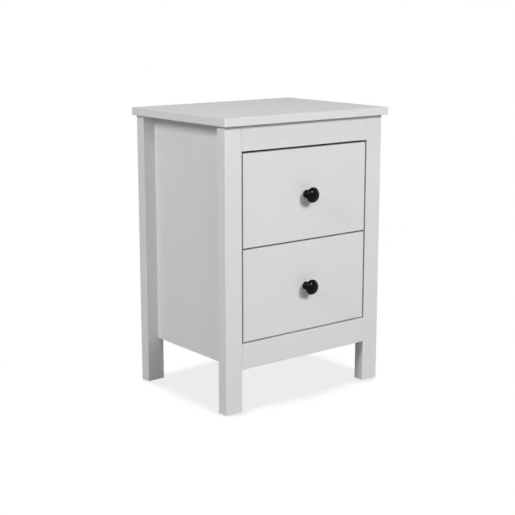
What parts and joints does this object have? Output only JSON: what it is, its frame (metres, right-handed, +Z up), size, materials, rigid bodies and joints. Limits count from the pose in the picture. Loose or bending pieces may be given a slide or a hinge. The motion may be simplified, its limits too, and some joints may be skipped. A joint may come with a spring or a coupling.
{
  "type": "nightstand",
  "caption": "Painted nightstand with an overhanging top on four square legs and inset drawers that slide out on roller runners, each pulled by a round knob.",
  "frame": {"origin": "on the floor, in the middle of the overall box with the knobs counted in", "axes": "+Z up, the drawers open towards -Y, +X to the right of someone facing the drawers"},
  "size_m": [0.404, 0.3236, 0.56],
  "materials": {
    "white_lacquer": "satin white lacquer on medium density fibreboard",
    "drawer_foil": "matte white paper foil on fibreboard",
    "thin_board": "hardboard, white primed on its show side and bare on the other",
    "black_lacquer": "gloss black lacquer on cast metal",
    "coated_steel": "white powder-coated sheet steel",
    "roller_nylon": "moulded white nylon",
    "plated_steel": "bright zinc-plated steel",
    "cast_zinc": "die-cast zinc",
    "beech": "plain fluted beech dowel"
  },
  "bodies": {
    "carcass": {"back_panel": "thin_board", "carcass_cam_bolts": "plated_steel", "carcass_cam_locks": "cast_zinc", "carcass_dowels": "beech", "channel_rivets": "plated_steel", "channel_screws": "plated_steel", "front_bottom_rail": "white_lacquer", "front_left_leg": "white_lacquer", "front_right_leg": "white_lacquer", "front_top_rail": "white_lacquer", "left_side_panel": "white_lacquer", "lower_left_channel": "coated_steel", "lower_right_channel": "coated_steel", "rear_bottom_rail": "white_lacquer", "rear_left_leg": "white_lacquer", "rear_right_leg": "white_lacquer", "rear_top_rail": "white_lacquer", "right_side_panel": "white_lacquer", "top_panel": "white_lacquer", "upper_left_channel": "coated_steel", "upper_right_channel": "coated_steel"},
    "upper_drawer": {"upper_drawer_back": "drawer_foil", "upper_drawer_back_screws": "plated_steel", "upper_drawer_bottom": "thin_board", "upper_drawer_cam_bolts": "plated_steel", "upper_drawer_cam_locks": "cast_zinc", "upper_drawer_front": "white_lacquer", "upper_drawer_left_side": "drawer_foil", "upper_drawer_rail_screws": "plated_steel", "upper_drawer_right_side": "drawer_foil", "upper_drawer_rivets": "plated_steel", "upper_knob": "black_lacquer", "upper_knob_screw": "plated_steel", "upper_left_drawer_rail": "coated_steel", "upper_right_drawer_rail": "coated_steel"},
    "lower_drawer": {"lower_drawer_back": "drawer_foil", "lower_drawer_back_screws": "plated_steel", "lower_drawer_bottom": "thin_board", "lower_drawer_cam_bolts": "plated_steel", "lower_drawer_cam_locks": "cast_zinc", "lower_drawer_front": "white_lacquer", "lower_drawer_left_side": "drawer_foil", "lower_drawer_rail_screws": "plated_steel", "lower_drawer_right_side": "drawer_foil", "lower_drawer_rivets": "plated_steel", "lower_knob": "black_lacquer", "lower_knob_screw": "plated_steel", "lower_left_drawer_rail": "coated_steel", "lower_right_drawer_rail": "coated_steel"},
    "lower_left_front_roller": {"lower_left_front_roller": "roller_nylon"},
    "lower_left_rear_roller": {"lower_left_rear_roller": "roller_nylon"},
    "lower_right_front_roller": {"lower_right_front_roller": "roller_nylon"},
    "lower_right_rear_roller": {"lower_right_rear_roller": "roller_nylon"},
    "upper_left_front_roller": {"upper_left_front_roller": "roller_nylon"},
    "upper_left_rear_roller": {"upper_left_rear_roller": "roller_nylon"},
    "upper_right_front_roller": {"upper_right_front_roller": "roller_nylon"},
    "upper_right_rear_roller": {"upper_right_rear_roller": "roller_nylon"}
  },
  "joints": [
    {"name": "upper_drawer_slide", "type": "slide", "parent": "carcass", "child": "upper_drawer", "axis": [0, -1, 0], "range_m": [0, 0.204]},
    {"name": "lower_drawer_slide", "type": "slide", "parent": "carcass", "child": "lower_drawer", "axis": [0, -1, 0], "range_m": [0, 0.204]},
    {"name": "upper_left_front_roller_spin", "type": "hinge", "parent": "carcass", "child": "upper_left_front_roller", "pos_m": [-0.1505, -0.10425, 0.34155], "axis": [1, 0, 0], "range_deg": [0, 1462]},
    {"name": "upper_left_rear_roller_spin", "type": "hinge", "parent": "upper_drawer", "child": "upper_left_rear_roller", "pos_m": [-0.149, 0.11675, 0.34155], "axis": [1, 0, 0], "range_deg": [0, 1462]},
    {"name": "upper_right_front_roller_spin", "type": "hinge", "parent": "carcass", "child": "upper_right_front_roller", "pos_m": [0.1505, -0.10425, 0.34155], "axis": [1, 0, 0], "range_deg": [0, 1462]},
    {"name": "upper_right_rear_roller_spin", "type": "hinge", "parent": "upper_drawer", "child": "upper_right_rear_roller", "pos_m": [0.149, 0.11675, 0.34155], "axis": [1, 0, 0], "range_deg": [0, 1462]},
    {"name": "lower_left_front_roller_spin", "type": "hinge", "parent": "carcass", "child": "lower_left_front_roller", "pos_m": [-0.1505, -0.10425, 0.1618], "axis": [1, 0, 0], "range_deg": [0, 1462]},
    {"name": "lower_left_rear_roller_spin", "type": "hinge", "parent": "lower_drawer", "child": "lower_left_rear_roller", "pos_m": [-0.149, 0.11675, 0.1618], "axis": [1, 0, 0], "range_deg": [0, 1462]},
    {"name": "lower_right_front_roller_spin", "type": "hinge", "parent": "carcass", "child": "lower_right_front_roller", "pos_m": [0.1505, -0.10425, 0.1618], "axis": [1, 0, 0], "range_deg": [0, 1462]},
    {"name": "lower_right_rear_roller_spin", "type": "hinge", "parent": "lower_drawer", "child": "lower_right_rear_roller", "pos_m": [0.149, 0.11675, 0.1618], "axis": [1, 0, 0], "range_deg": [0, 1462]}
  ],
  "couplings": [
    {"joint": "upper_left_front_roller_spin", "follows": "upper_drawer_slide", "rad_per_m": 125},
    {"joint": "upper_left_rear_roller_spin", "follows": "upper_drawer_slide", "rad_per_m": 125},
    {"joint": "upper_right_front_roller_spin", "follows": "upper_drawer_slide", "rad_per_m": 125},
    {"joint": "upper_right_rear_roller_spin", "follows": "upper_drawer_slide", "rad_per_m": 125},
    {"joint": "lower_left_front_roller_spin", "follows": "lower_drawer_slide", "rad_per_m": 125},
    {"joint": "lower_left_rear_roller_spin", "follows": "lower_drawer_slide", "rad_per_m": 125},
    {"joint": "lower_right_front_roller_spin", "follows": "lower_drawer_slide", "rad_per_m": 125},
    {"joint": "lower_right_rear_roller_spin", "follows": "lower_drawer_slide", "rad_per_m": 125}
  ]
}
